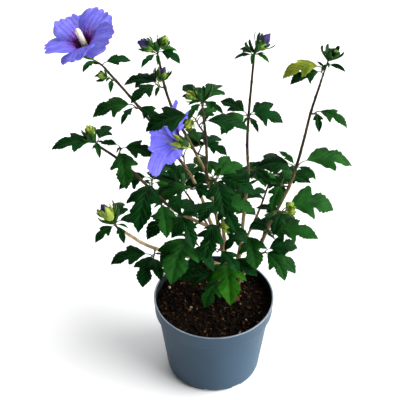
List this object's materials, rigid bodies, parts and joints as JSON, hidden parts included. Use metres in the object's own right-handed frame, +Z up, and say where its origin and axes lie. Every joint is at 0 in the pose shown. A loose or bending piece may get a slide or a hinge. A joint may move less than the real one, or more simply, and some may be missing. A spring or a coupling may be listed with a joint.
{
  "type": "potted hibiscus shrub",
  "caption": "Young flowering shrub with lobed leaves, buds and open violet blooms, standing in a round plastic nursery pot of peat.",
  "frame": {"origin": "middle of the pot's flat underside", "axes": "+Z up; -Y is the front of the plant; +X is to the right seen from the front"},
  "size_m": [0.4246, 0.3111, 0.6139],
  "materials": {
    "pot_plastic": "slate blue-grey moulded plastic, satin",
    "peat": "loose moist peat compost",
    "bark": "young tan bark",
    "foliage": "dark green leaf, slightly glossy",
    "bloom": "blue-violet petal, matt"
  },
  "bodies": {
    "root": {"bloom_left": "bloom", "bloom_side": "bloom", "bough_back_left": "bark", "bough_flower": "bark", "bough_left": "bark", "bough_low_back": "bark", "bough_low_left": "bark", "bough_low_rear": "bark", "leaves_back_foot": "foliage", "leaves_back_left_lower": "foliage", "leaves_back_left_middle": "foliage", "leaves_back_left_tip": "foliage", "leaves_back_left_upper": "foliage", "leaves_back_middle": "foliage", "leaves_back_rear": "foliage", "leaves_back_tip": "foliage", "leaves_back_upper": "foliage", "leaves_back_waist": "foliage", "leaves_centre_foot": "foliage", "leaves_centre_lower": "foliage", "leaves_centre_middle": "foliage", "leaves_centre_tip": "foliage", "leaves_centre_upper": "foliage", "leaves_centre_waist": "foliage", "leaves_flower_foot": "foliage", "leaves_flower_middle": "foliage", "leaves_flower_tip": "foliage", "leaves_flower_upper": "foliage", "leaves_front": "foliage", "leaves_left_foot": "foliage", "leaves_left_lower": "foliage", "leaves_left_middle": "foliage", "leaves_left_tip": "foliage", "leaves_left_upper": "foliage", "leaves_low_back_foot": "foliage", "leaves_low_back_tip": "foliage", "leaves_low_left_foot": "foliage", "leaves_low_left_middle": "foliage", "leaves_low_left_tip": "foliage", "leaves_low_rear_foot": "foliage", "leaves_low_rear_tip": "foliage", "leaves_on_peat": "foliage", "leaves_right_foot": "foliage", "leaves_right_high": "foliage", "leaves_right_lower": "foliage", "leaves_right_middle": "foliage", "leaves_right_rear": "foliage", "leaves_right_skirt": "foliage", "leaves_right_tip": "foliage", "leaves_right_upper": "foliage", "peat": "peat", "pot": "pot_plastic", "stem_back": "bark", "stem_centre": "bark", "stem_right": "bark", "stem_stool": "bark"}
  },
  "joints": []
}
